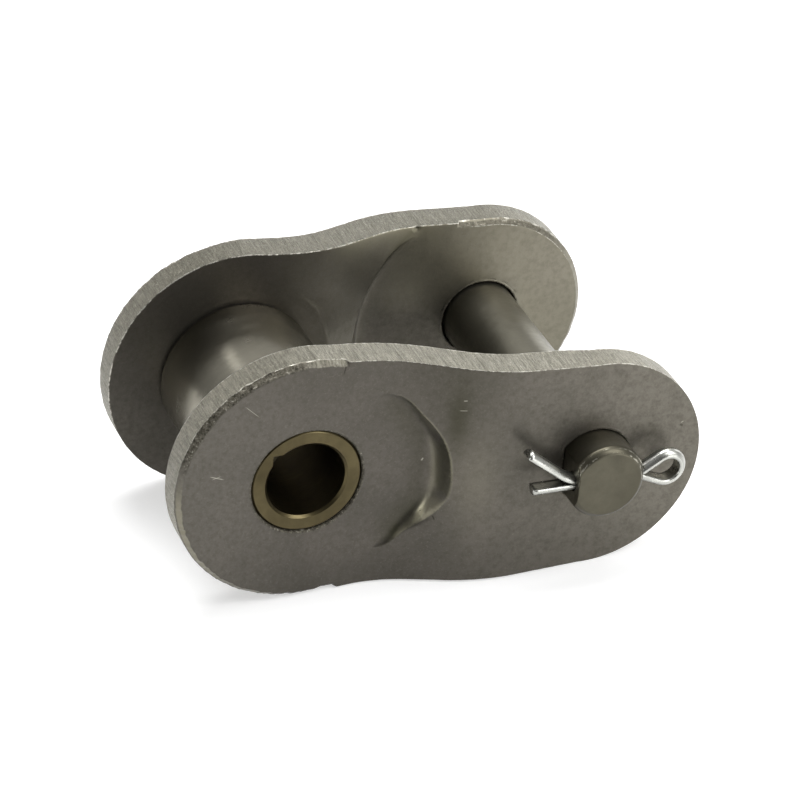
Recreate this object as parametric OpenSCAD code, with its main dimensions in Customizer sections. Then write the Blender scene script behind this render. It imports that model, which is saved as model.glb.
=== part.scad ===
// Offset link of a heavy roller chain, 50.8 mm pitch.
// Two cranked side plates carry a bush and its roller at the narrow end
// and a flatted connecting pin, held by a cotter pin, at the wide end.
// Origin: centre of the bush. X runs to the pin, Y along the bush, Z up.

/* [Chain] */
// Pitch, from the bush axis to the pin axis
pitch = 50.8; // [50:0.1:52]
// Clear width between the plates at the bush end
inner_width = 31.55; // [30.5:0.05:32.5]
// Clearance each side between this link and the plates it laps
side_clear = 0.9; // [0.6:0.05:1.2]

/* [Plates] */
// Thickness of a side plate
plate_t = 6.35; // [6:0.05:6.7]
// Radius of the plate round the bush
bush_lobe_r = 23.8; // [23.4:0.1:24.2]
// Radius of the plate round the pin
pin_lobe_r = 20.5; // [20.2:0.1:21]
// Depth of the shallow waist below a straight side
waist = 0.25; // [0.1:0.05:0.5]
// Size of the bevel round the ends of the plates
bevel = 1.0; // [0.6:0.1:1.3]
// How far the bevel at the bush end reaches past the bush axis
bush_bevel_reach = 5.8; // [4:0.1:7]
// Length over which the near plate's inner bevel fades out, from the pin axis
near_bevel_reach = 7.5; // [6:0.1:8.5]
// Distance of the far plate's inner bevel end from the pin axis
far_bevel_reach = 5.9; // [4:0.1:7]

/* [Crank] */
// Slope of the crank between the two flat ends
crank_slope = 22.5; // [21:0.5:24]
// Radius of the middle of the plate in each bend of the crank
crank_bend_r = 30; // [28:0.5:32]
// Distance from the bush axis to the middle of the crank
crank_mid = 23.4; // [22.8:0.1:24]

/* [Clearance pockets] */
// Offset of the outer pocket's centre from the bush axis
outer_pocket_shift = 5; // [4:0.1:6]
// Radius of the outer pocket where its wall begins
outer_pocket_r = 17.8; // [17.4:0.1:18]
// Radius of the inner pocket where its wall begins
inner_pocket_r = 25.4; // [25:0.1:25.6]

/* [Bush and roller] */
// Outside diameter of the bush
bush_d = 20.3; // [20:0.05:20.6]
// Bore of the bush
bush_bore_d = 14.4; // [14.35:0.01:14.5]
// How far each end of the bush stands back from the plate
bush_setback = 0.3; // [0.1:0.05:0.6]
// Outside diameter of the roller
roller_d = 28.58; // [28:0.01:29]
// End float of the roller between the plates, in all
roller_float = 0.5; // [0.3:0.05:0.8]
// Radial clearance between the bush and the roller
roller_clear = 0.08; // [0.05:0.01:0.1]

/* [Connecting pin] */
// Diameter of the pin
pin_d = 14.27; // [14.1:0.01:14.3]
// How far the pin stands out of the near plate
pin_stand = 6.7; // [6.2:0.1:7.4]
// Distance of the flat from the pin axis
pin_flat = 5.8; // [5.5:0.05:6.2]
// Thickness of the head behind the far plate
pin_head_t = 2.6; // [2:0.1:3.5]
// Diameter of the head
pin_head_d = 18.5; // [17.5:0.1:20]

/* [Cotter pin] */
// Diameter of the two legs together
cotter_d = 2.9; // [2.7:0.05:3]
// Distance of the cotter from the face of the near plate
cotter_out = 4.0; // [3.8:0.1:4.2]
// Inside radius of the eye
eye_r = 2.25; // [2:0.05:2.4]
// Angle the eye is turned up by
eye_tilt = 3; // [0:0.5:5]
// Angle of the leg that is bent up
leg_bend = 39; // [25:1:45]
// Length of the straight leg beyond the flat
short_leg = 7.6; // [6:0.1:8.5]
// Length of the bent leg beyond the flat
long_leg = 11.3; // [9:0.1:12.5]

/* [Hidden] */
$fn = 96;

// Outer faces of the far plate: at the bush end and at the pin end
bush_face = inner_width / 2 + plate_t;
pin_face = bush_face + side_clear + plate_t;
// Height and half length of the crank, and the straight between its bends
crank_rise = pin_face - bush_face;
crank_straight = (crank_rise - 2 * crank_bend_r * (1 - cos(crank_slope))) / sin(crank_slope);
crank_half = crank_bend_r * sin(crank_slope) + crank_straight / 2 * cos(crank_slope);
bend_steps = 16;
waist_steps = 12;
// Overlap of one shape into the next where they are joined or cut
lap = 0.05;
over = 5;
// Slip of the pin in the plates, at the flat and round it
keyed_slip = 0.12;
far_slip = 0.25;
hole_break = 0.3;
// Wall of the outer pocket as radius and depth, from its flat floor outwards
outer_wall = [[-1.6, 0.15], [-0.6, 0.45], [0, 0.9], [1.9, 4.6], [3.4, 7.6]];
outer_floor_r = outer_pocket_r - 3;
// Wall of the inner pocket as radius and depth
inner_wall = [[-1.0, 0.15], [-0.3, 0.5], [0, 0.9], [1.4, 3.7], [3.0, 7.0]];
inner_floor_r = inner_pocket_r - 2.4;
// Swelling of the inner face that backs the outer pocket
swell_r = 18;
swell_out = 8;
swell_t = 4.6;
// Ends of the bush and the roller
bush_half = bush_face - bush_setback;
bush_break = 0.4;
bush_mouth = 0.45;
roller_half = (inner_width - roller_float) / 2;
roller_bore_r = bush_d / 2 + roller_clear;
roller_round = 0.9;
// Rolled seam of the bush: the notch where the ends of the strip meet
seam_angle = 137.5;
seam_r = 8.8;
seam_slope = 28;
seam_depth = 0.25;
// The pin
pin_r = pin_d / 2;
pin_end = pin_face + pin_stand;
pin_bevel = 1.0;
head_bevel = 0.6;
flat_run = pin_stand + plate_t + 0.4;
// The cotter
wire_r = cotter_d / 2;
cotter_y = -(pin_face + cotter_out);
neck_x = pin_r + 0.4;
eye_mid = pin_r + 5.1;
eye_span = eye_mid - neck_x;
eye_lead = asin(eye_r / eye_span);
eye_run = sqrt(eye_span * eye_span - eye_r * eye_r);
leg_root = pin_flat - 0.1;
bend_r = 7;
bent_run = long_leg - bend_r * leg_bend * PI / 180;
// A straight run is this much thinner than the bend it runs into, and reaches this far in
thin = 0.02;
run_in = 0.2;

steel = [0.42, 0.41, 0.38];
dark_steel = [0.34, 0.33, 0.31];
bush_brown = [0.45, 0.40, 0.25];
zinc = [0.82, 0.83, 0.84];

// Points of one bend of the crank: centre, radius, first and last angle
function bend(centre, r, from, to) =
  [for (i = [0:bend_steps])
    let (a = from + (to - from) * i / bend_steps)
    centre + r * [cos(a), sin(a)]];

// Edge of the cranked section, shifted outwards from the middle of the plate
function crank_edge(shift) =
  let (
    first = [crank_mid - crank_half, bush_face - plate_t / 2 + crank_bend_r],
    second = [crank_mid + crank_half, pin_face - plate_t / 2 - crank_bend_r]
  )
  concat(
    [[-bush_lobe_r - over, bush_face - plate_t / 2 + shift]],
    bend(first, crank_bend_r - shift, -90, -90 + crank_slope),
    bend(second, crank_bend_r + shift, 90 + crank_slope, 90),
    [[pitch + pin_lobe_r + over, pin_face - plate_t / 2 + shift]]
  );

function reversed(points) = [for (i = [len(points) - 1:-1:0]) points[i]];

// Cross section of the plate along the chain, as bent
module crank_section() {
  outer = crank_edge(plate_t / 2);
  inner = crank_edge(-plate_t / 2);
  polygon(concat(outer, reversed(inner)));
}

// Half height of the side between the two round ends
function side_height(u) =
  bush_lobe_r + (pin_lobe_r - bush_lobe_r) * u - 4 * waist * u * (1 - u) - lap;

// Block with the outline of the plate seen along the bush
module plate_outline() {
  side = [for (i = [0:waist_steps]) [pitch * i / waist_steps, side_height(i / waist_steps)]];
  cylinder(r = bush_lobe_r, h = pin_face + over);
  translate([pitch, 0, 0]) cylinder(r = pin_lobe_r, h = pin_face + over);
  linear_extrude(height = pin_face + over)
    polygon(concat(side, [for (p = reversed(side)) [p[0], -p[1]]]));
}

// Stands a shape drawn in X and Z on its place along Y, from y0 outwards
module along_y(y0) {
  translate([0, y0, 0]) rotate([-90, 0, 0]) mirror([0, 1, 0]) children();
}

// Bevel of a round end: what lies outside a cone, as a ring
module bevel_ring(r, y0, outwards) {
  profile = [[r - bevel, 0], [r + over, -bevel - over], [r + over, over], [r - bevel, over]];
  along_y(y0) rotate_extrude()
    polygon([for (p = profile) [p[0], outwards * p[1]]]);
}

// Bevel along a nearly straight side, reach long, running off at a slope in degrees
module bevel_side(r, y0, outwards, reach, slope) {
  profile = [[0, r - bevel], [-outwards * (bevel + over), r + over], [outwards * over, r + over],
    [outwards * over, r - bevel]];
  for (z_side = [0, 1])
    mirror([0, 0, z_side])
      translate([0, 0, r]) rotate([0, slope, 0]) translate([0, y0, -r])
        translate([-lap, 0, 0]) rotate([90, 0, 90]) linear_extrude(height = reach + lap) polygon(profile);
}

// Fall of the side per length, as an angle at each end
bush_fall = atan((bush_lobe_r - pin_lobe_r + 4 * waist) / pitch);
pin_rise = atan((bush_lobe_r - pin_lobe_r - 4 * waist) / pitch);

// Bevel of the outer edge round the bush end
module bush_bevel() {
  intersection() {
    bevel_ring(bush_lobe_r, bush_face, 1);
    half_space(bush_lobe_r, bush_face);
  }
  bevel_side(bush_lobe_r, bush_face, 1, bush_bevel_reach, bush_fall);
}

// Block round the end of a plate, on the side where x is below zero
module half_space(r, y0) {
  reach = r + 2 * over;
  translate([-reach, y0 - over, -reach]) cube([reach, 2 * over, 2 * reach]);
}

// Bevel of the inner edge round the pin end, which may fade out over its reach
module pin_bevel(reach, fade) {
  inner_face = pin_face - plate_t;
  translate([pitch, 0, 0]) mirror([1, 0, 0]) {
    intersection() {
      bevel_ring(pin_lobe_r, inner_face, -1);
      half_space(pin_lobe_r, inner_face);
    }
    bevel_side(pin_lobe_r, inner_face, -1, reach, -pin_rise - fade);
  }
}

// Pocket in the outer face that clears the plate lapping the bush end
module outer_pocket() {
  wall = [for (p = outer_wall) [outer_pocket_r + p[0], p[1]]];
  last = wall[len(wall) - 1];
  translate([outer_pocket_shift, 0, 0]) along_y(bush_face) rotate_extrude()
    polygon(concat([[0, 0], [outer_floor_r, 0]], wall, [[last[0], last[1] + over], [0, last[1] + over]]));
}

// Pocket in the inner face that clears the plate lapped by the pin end
module inner_pocket() {
  wall = [for (p = inner_wall) [inner_pocket_r + p[0], -p[1]]];
  last = wall[len(wall) - 1];
  translate([pitch, 0, 0]) along_y(pin_face - plate_t) rotate_extrude()
    polygon(concat([[0, 0], [inner_floor_r, 0]], wall, [[last[0], last[1] - over], [0, last[1] - over]]));
}

// Thickening of the inner face behind the outer pocket
module swelling() {
  along_y(bush_face - plate_t) cylinder(r1 = swell_r, r2 = swell_r + swell_out, h = swell_t);
}

// Drilled hole through the plate at x, with its edge broken on the face at y0
module plate_hole(x, r, y0, outwards) {
  translate([x, 0, 0]) {
    along_y(bush_face - plate_t - over) cylinder(r = r, h = pin_face - bush_face + plate_t + 2 * over);
    along_y(y0 - outwards * hole_break)
      rotate_extrude() polygon([[0, -outwards], [r - lap, -outwards], [r - lap, outwards * -lap],
        [r + hole_break + lap, outwards * (hole_break + lap)], [0, outwards * (hole_break + lap)]]);
  }
}

// Solid of a plate on the far side, before the pin hole
module blank_plate(pin_bevel_reach, pin_bevel_fade) {
  difference() {
    intersection() {
      union() {
        linear_extrude(height = 2 * bush_lobe_r + 2 * over, center = true) crank_section();
        swelling();
      }
      along_y(0) plate_outline();
    }
    outer_pocket();
    inner_pocket();
    bush_bevel();
    pin_bevel(pin_bevel_reach, pin_bevel_fade);
    plate_hole(0, bush_d / 2, bush_face, 1);
  }
}

// Far plate, with a round hole for the shank under the head
module far_plate() {
  color(steel) difference() {
    blank_plate(far_bevel_reach, 0);
    plate_hole(pitch, pin_r + far_slip, pin_face - plate_t, -1);
  }
}

// Near plate, with a flatted hole that keeps the pin from turning
module near_plate() {
  color(steel) mirror([0, 1, 0]) difference() {
    blank_plate(near_bevel_reach, atan(bevel / near_bevel_reach));
    difference() {
      translate([pitch, 0, 0]) along_y(bush_face) cylinder(r = pin_r + keyed_slip, h = crank_rise + over);
      translate([pitch - pin_flat - keyed_slip - pin_d, bush_face - over, -pin_d])
        cube([pin_d, crank_rise + 3 * over, 2 * pin_d]);
    }
  }
}

// Bush rolled from strip, its seam open at the mouth
module bush() {
  r = bush_d / 2;
  bore = bush_bore_d / 2;
  profile = [
    [bore + bush_mouth, bush_half], [bore, bush_half - bush_mouth],
    [bore, -bush_half + bush_mouth], [bore + bush_mouth, -bush_half],
    [r - bush_break, -bush_half], [r, -bush_half + bush_break],
    [r, bush_half - bush_break], [r - bush_break, bush_half]
  ];
  color(bush_brown) difference() {
    rotate([90, 0, 0]) rotate_extrude() polygon(profile);
    for (y_side = [0, 1]) mirror([0, y_side, 0]) seam_notch();
  }
}

// Tapering notch at one mouth of the bush, shallow at its point
module seam_notch() {
  notch = [[0, 0], [-2.9, -3.3], [-3.3, 4.0]];
  rotate([0, -seam_angle, 0]) translate([seam_r, -bush_half, 0]) rotate([0, 0, -seam_slope])
    along_y(-2) linear_extrude(height = 2 + seam_depth) polygon(notch);
}

// Roller, free to turn on the bush
module roller() {
  r = roller_d / 2;
  mouth = 0.6;
  arc = [for (a = [0:15:90]) [r - roller_round + roller_round * cos(a), roller_half - roller_round + roller_round * sin(a)]];
  top = concat(arc, [[roller_bore_r + mouth, roller_half], [roller_bore_r, roller_half - mouth]]);
  bottom = [for (p = reversed(top)) [p[0], -p[1]]];
  color(dark_steel) rotate([90, 0, 0]) rotate_extrude() polygon(concat(top, bottom));
}

// Connecting pin, flatted at the near end and headed at the far end
module connecting_pin() {
  color(dark_steel) translate([pitch, 0, 0]) difference() {
    union() {
      along_y(-pin_end + pin_bevel) cylinder(r = pin_r, h = pin_end - pin_bevel + pin_face);
      along_y(-pin_end) cylinder(r1 = pin_r - pin_bevel, r2 = pin_r, h = pin_bevel);
      along_y(pin_face) cylinder(r = pin_head_d / 2, h = pin_head_t - head_bevel);
      along_y(pin_face + pin_head_t - head_bevel)
        cylinder(r1 = pin_head_d / 2, r2 = pin_head_d / 2 - head_bevel, h = head_bevel);
    }
    translate([-pin_flat - pin_d, -pin_end - over, -pin_d]) cube([pin_d, flat_run + over, 2 * pin_d]);
    translate([0, cotter_y, 0]) rotate([0, 90, 0]) cylinder(r = wire_r, h = 2 * pin_d, center = true);
  }
}

// Half round section of the wire, thinner by trim all round: flat below, bulging towards +Y
module half_round(trim) {
  intersection() {
    circle(r = wire_r - trim);
    translate([-wire_r - 1, trim / 2]) square([2 * wire_r + 2, wire_r + 1]);
  }
}

// Straight run of the wire along +X, flat side down, from x to x + length
module wire(x, length, trim) {
  translate([x, 0, 0]) rotate([90, 0, 90]) linear_extrude(height = length) half_round(trim);
}

// Round shank that fills the hole of the pin
module shank() {
  translate([-pin_flat - 0.1, 0, 0]) rotate([0, 90, 0]) cylinder(r = wire_r, h = pin_flat + 0.1 + neck_x);
}

// Leg bent up where it leaves the flat of the pin
module bent_leg() {
  translate([-leg_root, 0, bend_r]) {
    rotate([90, 0, 0]) rotate([0, 0, -90 - leg_bend])
      rotate_extrude(angle = leg_bend) translate([bend_r, 0]) rotate(90) half_round(thin);
    rotate([0, leg_bend, 0]) translate([0, 0, -bend_r]) wire(-bent_run, bent_run + run_in, 2 * thin);
  }
}

// Eye: two straight leads that run tangent into a round, turned up about its neck
module eye() {
  translate([neck_x, 0, 0]) rotate([0, -eye_tilt, 0]) translate([-neck_x, 0, 0]) eye_loop();
}

module eye_loop() {
  translate([eye_mid, 0, 0]) rotate([90, 0, 0]) rotate([0, 0, -90 - eye_lead])
    rotate_extrude(angle = 180 + 2 * eye_lead) translate([eye_r, 0]) rotate(-90) half_round(0);
  for (z_side = [0, 1]) mirror([0, 0, z_side])
    translate([neck_x, 0, 0]) rotate([0, -eye_lead, 0]) wire(-0.3, eye_run + 0.3 + run_in, thin);
}

// Cotter pin of half round wire, one leg bent up and the other left straight
module cotter_pin() {
  color(zinc) translate([pitch, cotter_y, 0]) {
    shank();
    mirror([0, 0, 1]) wire(-pin_flat - short_leg, short_leg + 0.5, thin);
    bent_leg();
    eye();
  }
}

near_plate();
far_plate();
bush();
roller();
connecting_pin();
cotter_pin();
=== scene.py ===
from collections import namedtuple
from math import asin, cos, degrees, exp, hypot, pi, radians, sin, sqrt, tan

import bpy
import bmesh
import numpy as np
from mathutils import Matrix, Vector
from mathutils.geometry import delaunay_2d_cdt
from mathutils.kdtree import KDTree


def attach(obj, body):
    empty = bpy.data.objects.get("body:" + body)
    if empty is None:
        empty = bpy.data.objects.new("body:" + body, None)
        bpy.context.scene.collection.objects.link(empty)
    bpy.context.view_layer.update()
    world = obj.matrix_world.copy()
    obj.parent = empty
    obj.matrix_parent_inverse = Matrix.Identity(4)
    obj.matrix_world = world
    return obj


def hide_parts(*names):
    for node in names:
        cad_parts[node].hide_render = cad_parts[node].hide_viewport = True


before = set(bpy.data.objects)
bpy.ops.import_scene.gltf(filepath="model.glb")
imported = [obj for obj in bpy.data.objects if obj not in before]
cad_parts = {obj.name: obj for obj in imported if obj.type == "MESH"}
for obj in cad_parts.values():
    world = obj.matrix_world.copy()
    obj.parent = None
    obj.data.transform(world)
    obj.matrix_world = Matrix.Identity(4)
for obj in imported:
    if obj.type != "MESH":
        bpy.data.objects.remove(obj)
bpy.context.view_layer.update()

MM = 0.001

# Sizes of the part in millimetres, the same as in the source of the solids
PITCH = 50.8
THICK = 6.35
BUSH_FACE = 22.125
PIN_FACE = 29.375
BUSH_LOBE = 23.8
PIN_LOBE = 20.5
WAIST = 0.25
BEVEL = 1.0
SLOPE = radians(22.5)
BEND = 30.0
CRANK_MID = 23.4
BUSH_R = 10.15
PIN_R = 7.135
PIN_FLAT = 5.8
PIN_STAND = 6.7
HEAD_R = 9.25
HEAD_T = 2.6
KEYED_SLIP = 0.12
FAR_SLIP = 0.25
PIN_HOLE = 1.75
COTTER_Y = -(PIN_FACE + 4.0)

RISE = PIN_FACE - BUSH_FACE
CRANK_RUN = (RISE - 2 * BEND * (1 - cos(SLOPE))) / sin(SLOPE)
CRANK_HALF = BEND * sin(SLOPE) + CRANK_RUN / 2 * cos(SLOPE)
CRANK_X = (CRANK_MID - CRANK_HALF, CRANK_MID + CRANK_HALF)

# Walls of the pockets, as distance from the axis and depth below the face
POCKET_X = 5.0
OUTER_WALL = np.array([(14.4, 0.0), (15.3, 0.03), (16.2, 0.13), (16.9, 0.32), (17.45, 0.62), (17.8, 0.95),
                       (18.05, 1.35), (19.7, 4.6), (21.2, 7.6), (23.0, 11.2)])
INNER_WALL = np.array([(22.6, 0.0), (23.6, 0.04), (24.4, 0.15), (25.0, 0.42), (25.4, 0.9), (25.75, 1.6),
                       (26.8, 3.7), (28.4, 7.0), (31.0, 12.4)])

# Swelling behind the outer pocket: radius and slope of its cone, then where it is steeper and by how much
SWELL_R, SWELL_SLOPE = 18.0, 0.575
SWELL_END_R, SWELL_END_SLOPE = 25.8, 2.4

# Where the bevels fade out along the outline, as X from and to
NEAR_TOP_FADE = (5.65, 6.0)
FAR_TOP_FADE = (-6.0, 6.0)
LOW_FADE = (6.75, 7.1)
NEAR_INNER_FADE = (PITCH - 7.5, PITCH)
FAR_INNER_FADE = (PITCH - 6.05, PITCH - 5.75)

# Radius of the plates' long edges: crisp on the face that shows, softer on the hidden one
CRISP = 0.13
SOFT = 0.32

RIM_STEP = 0.32
GRID_STEP = 0.6
HOLE_STEP = 0.28
WALL_STEP = 0.32
EDGE_INSETS = [1.5, 1.3, 1.18, 1.08, 1.0, 0.92, 0.84, 0.72, 0.6, 0.48, 0.36][::1]
SIDE_ROWS = 18
PIN_SIDES = 180
WIRE_SIDES = 16

# Width of the ring of faces round a hole, width kept free of points along the outline, width over which
# wear and bevels fade, and the X where the rings of points on a pocket's wall end
COLLAR = 0.8
MARGIN = 1.3
EDGE_FADE = 0.12
RINGS_END = 43.0


# Small tools
def linear(rgb):
    """A colour given in screen values from 0 to 255, as Blender's linear values."""
    c = np.asarray(rgb, float) / 255
    return tuple(np.where(c < 0.04045, c / 12.92, ((c + 0.055) / 1.055) ** 2.4)) + (1.0,)


def lattice(ix, iy, seed):
    """Repeatable random values from -1 to 1 for whole-number places."""
    h = (ix.astype(np.int64) * 374761393 + iy.astype(np.int64) * 668265263 + seed * 974711) & 0xFFFFFFFF
    h = ((h ^ (h >> 13)) * 1274126177) & 0xFFFFFFFF
    h = (h ^ (h >> 16)) & 0xFFFFFFFF
    return h / 2147483647.5 - 1


def noise(u, v, seed):
    """Smooth random relief over two coordinates, one bump per unit, from -1 to 1."""
    iu, iv = np.floor(u), np.floor(v)
    fu, fv = u - iu, v - iv
    fu, fv = fu * fu * (3 - 2 * fu), fv * fv * (3 - 2 * fv)
    a = lattice(iu, iv, seed) * (1 - fu) + lattice(iu + 1, iv, seed) * fu
    b = lattice(iu, iv + 1, seed) * (1 - fu) + lattice(iu + 1, iv + 1, seed) * fu
    return a * (1 - fv) + b * fv


def bell(x, middle, width):
    """1 at the middle, falling to about a third at the width on each side."""
    return np.exp(-((x - middle) / width) ** 2)


def ramp(x, a, b):
    """0 up to a, 1 from b on, with a soft rise between."""
    t = np.clip((x - a) / (b - a), 0, 1)
    return t * t * (3 - 2 * t)


def soft_min(a, b, k):
    """The lower of two surfaces, blended where they are less than k apart."""
    h = np.clip(0.5 + 0.5 * (b - a) / np.maximum(k, 1e-6), 0, 1)
    return b * (1 - h) + a * h - k * h * (1 - h)


def loop_normals(points, reach):
    """Unit normals of a closed loop, to the right of its direction between points reach away."""
    t = np.roll(points, -reach, 0) - np.roll(points, reach, 0)
    t /= np.hypot(*t.T)[:, None]
    return np.c_[t[:, 1], -t[:, 0]]


def search_tree(points):
    """Tree that finds the nearest of some flat points."""
    tree = KDTree(len(points))
    for k, q in enumerate(points):
        tree.insert((q[0], q[1], 0), k)
    tree.balance()
    return tree


def tube_faces(rows, count, first=0):
    """Faces between rows of points, each row a closed loop of count points, numbered from first."""
    faces = []
    for row in range(first, first + (rows - 1) * count, count):
        for i in range(count):
            j = (i + 1) % count
            faces.append((row + i, row + j, row + count + j, row + count + i))
    return faces


def capped_tube(rows, count):
    """Faces of a tube, closed by a cap at each end."""
    ends = [tuple(range(count)), tuple(range((rows - 1) * count, rows * count))]
    return tube_faces(rows, count) + ends


def add_object(name, data):
    """A new object in the scene."""
    ob = bpy.data.objects.new(name, data)
    bpy.context.scene.collection.objects.link(ob)
    return ob


def build(name, points, faces, material, attributes, runs=None):
    """A smooth mesh object from points in millimetres, with named vertex values."""
    mesh = bpy.data.meshes.new(name)
    mesh.from_pydata([tuple(v) for v in np.asarray(points) * MM], [], faces)
    for key, values in attributes.items():
        layer = mesh.attributes.new(key, "FLOAT", "POINT")
        layer.data.foreach_set("value", np.asarray(values, np.float32))
    if runs is not None:
        layer = mesh.attributes.new("run", "FLOAT_VECTOR", "POINT")
        layer.data.foreach_set("vector", np.asarray(runs, np.float32).ravel())
    bm = bmesh.new()
    bm.from_mesh(mesh)
    bmesh.ops.recalc_face_normals(bm, faces=bm.faces)
    bm.to_mesh(mesh)
    bm.free()
    mesh.polygons.foreach_set("use_smooth", [True] * len(mesh.polygons))
    mesh.materials.append(material)
    return add_object(name, mesh)


# Form of a plate, as heights over X and Z on the far side of the link
def crank(x, shift):
    """Distance from the middle plane of the cranked section at x, shift outwards from its middle."""
    low, high = BUSH_FACE - THICK / 2, PIN_FACE - THICK / 2
    r1, r2 = BEND - shift, BEND + shift
    xa, xb = CRANK_X[0] + r1 * sin(SLOPE), CRANK_X[1] - r2 * sin(SLOPE)
    ya = low + BEND - r1 * cos(SLOPE)
    arc1 = low + BEND - np.sqrt(np.maximum(r1 * r1 - (x - CRANK_X[0]) ** 2, 1e-6))
    arc2 = high - BEND + np.sqrt(np.maximum(r2 * r2 - (x - CRANK_X[1]) ** 2, 1e-6))
    y = np.where(x < CRANK_X[0], low + shift, arc1)
    y = np.where(x > xa, ya + (x - xa) * tan(SLOPE), y)
    y = np.where(x > xb, arc2, y)
    return np.where(x > CRANK_X[1], high + shift, y)


def pocket_angle(x, z):
    """Angle about the outer pocket's axis, in degrees, 0 towards the pin."""
    return np.degrees(np.arctan2(z, x - POCKET_X))


def pocket_radius(x, z):
    """Distance from the outer pocket's axis, drawn in or out with the angle as the punch left it."""
    r = np.hypot(x - POCKET_X, z)
    a = pocket_angle(x, z)
    grown = 0.28 + 0.3 * bell(a, -11, 9) - 0.75 * bell(a, -41, 11)
    grown = grown + 0.4 * ramp(-a, 44, 58) + 0.8 * ramp(a, 36, 54)
    return r - grown * ramp(r, 10, 16)


def outer_pocket(x, z):
    """Surface of the outer pocket."""
    return BUSH_FACE + np.interp(pocket_radius(x, z), OUTER_WALL[:, 0], OUTER_WALL[:, 1])


def inner_pocket(x, z):
    """Surface of the inner pocket."""
    return PIN_FACE - THICK - np.interp(np.hypot(x - PITCH, z), INNER_WALL[:, 0], INNER_WALL[:, 1])


def swelled(x, z):
    """Inner face of the crank with the swelling that backs the outer pocket."""
    flat = BUSH_FACE - THICK
    r = np.hypot(x, z)
    cone = flat + SWELL_SLOPE * np.maximum(r - SWELL_R, 0)
    cone = cone + SWELL_END_SLOPE * np.maximum(r - SWELL_END_R, 0)
    base = crank(x, -THICK / 2)
    return soft_min(base, cone, 0.9 * ramp(base - flat, 0.0, 1.2))


def outer_face(x, z):
    """Outer face with the pocket in it, whose edge is rolled over at the lower right."""
    rolled = 1.5 * bell(pocket_angle(x, z), -30, 10) * ramp(np.hypot(x - POCKET_X, z), 14, 16)
    return soft_min(crank(x, THICK / 2), outer_pocket(x, z), rolled)


def inner_face(x, z):
    """Inner face with the swelling and the pocket."""
    return np.maximum(swelled(x, z), inner_pocket(x, z))


def outer_gap(x, z):
    """How far the outer pocket lies below the crank; it is cut where this is above 0."""
    return crank(x, THICK / 2) - outer_pocket(x, z)


def inner_gap(x, z):
    """How far the inner pocket is cut into the inner face."""
    return inner_pocket(x, z) - swelled(x, z)


def half_height(x):
    """Half height of the outline at x."""
    u = np.clip(x / PITCH, 0, 1)
    side = BUSH_LOBE + (PIN_LOBE - BUSH_LOBE) * u - 4 * WAIST * u * (1 - u) - 0.05
    left = np.sqrt(np.maximum(BUSH_LOBE**2 - x * x, 0))
    right = np.sqrt(np.maximum(PIN_LOBE**2 - (x - PITCH) ** 2, 0))
    lobes = np.maximum(np.where(x < BUSH_LOBE, left, 0), np.where(x > PITCH - PIN_LOBE, right, 0))
    return np.maximum(lobes, np.where((x >= 0) & (x <= PITCH), side, 0))


def lobe(x, r, start):
    """Round end of the outline, half a turn anticlockwise from an angle."""
    a = np.linspace(start, start + pi, 400)
    return np.c_[x + r * np.cos(a), r * np.sin(a)]


def outline(step):
    """Points of the outline, anticlockwise in X and Z and about step apart, with normals and way run."""
    left, right = lobe(0, BUSH_LOBE, pi / 2), lobe(PITCH, PIN_LOBE, -pi / 2)
    x = np.linspace(0.02, PITCH - 0.02, 500)
    bottom, top = np.c_[x, -half_height(x)], np.c_[x, half_height(x)][::-1]
    loop = np.vstack([left, bottom, right, top, left[:1]])
    run = np.append(0, np.cumsum(np.hypot(*np.diff(loop, axis=0).T)))
    n = int(run[-1] / step)
    s = np.arange(n) / n * run[-1]
    p = np.stack([np.interp(s, run, loop[:, k]) for k in (0, 1)], 1)
    return p, loop_normals(p, 2), s


def hole_loop(hole):
    """Points of a hole's edge, with the direction from the edge into the plate."""
    a = np.arange(0, 2 * pi, HOLE_STEP / hole.radius)
    r = np.full_like(a, hole.radius)
    if hole.flat:
        c = np.cos(a)
        r = np.where(c < -hole.flat / hole.radius, hole.flat / np.maximum(-c, 1e-6), r)
    p = np.c_[hole.x + r * np.cos(a), r * np.sin(a)]
    return p, loop_normals(p, 1)


# A hole: where it is, its radius, the distance of its flat, and how far its two edges are broken
Hole = namedtuple("Hole", "x radius flat outer_break inner_break")

# A pocket to be meshed: its axis, the side where its wall is (1 or -1), how deep it cuts into the face,
# then the radii, angle and step between which its edge is sought, and where rings of points cover its wall
Pocket = namedtuple("Pocket", "x side gap edge_radii edge_angle edge_step ring_radii ring_angle")
OUTER_POCKET = Pocket(POCKET_X, 1, outer_gap, (12.0, 22.0), 1.45, 0.3 / 12.0, (13.6, 22.4), 1.5)
INNER_POCKET = Pocket(PITCH, -1, inner_gap, (20.0, 31.0), 1.3, 0.3 / 25.0, (22.4, 29.5), 1.3)


def pocket_edge(pocket):
    """Points where a pocket's wall meets the face, each with the direction away from the axis."""
    edge = []
    for a in np.arange(-pocket.edge_angle, pocket.edge_angle, pocket.edge_step):
        d = np.array([pocket.side * cos(a), sin(a)])
        r = np.arange(*pocket.edge_radii, 0.02)
        gap = pocket.gap(pocket.x + r * d[0], r * d[1])
        k = np.nonzero((gap[:-1] > 0) & (gap[1:] <= 0))[0]
        if len(k):
            edge.append((pocket.x + r[k[-1]] * d[0], r[k[-1]] * d[1], d[0], d[1]))
    return np.array(edge)


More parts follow.
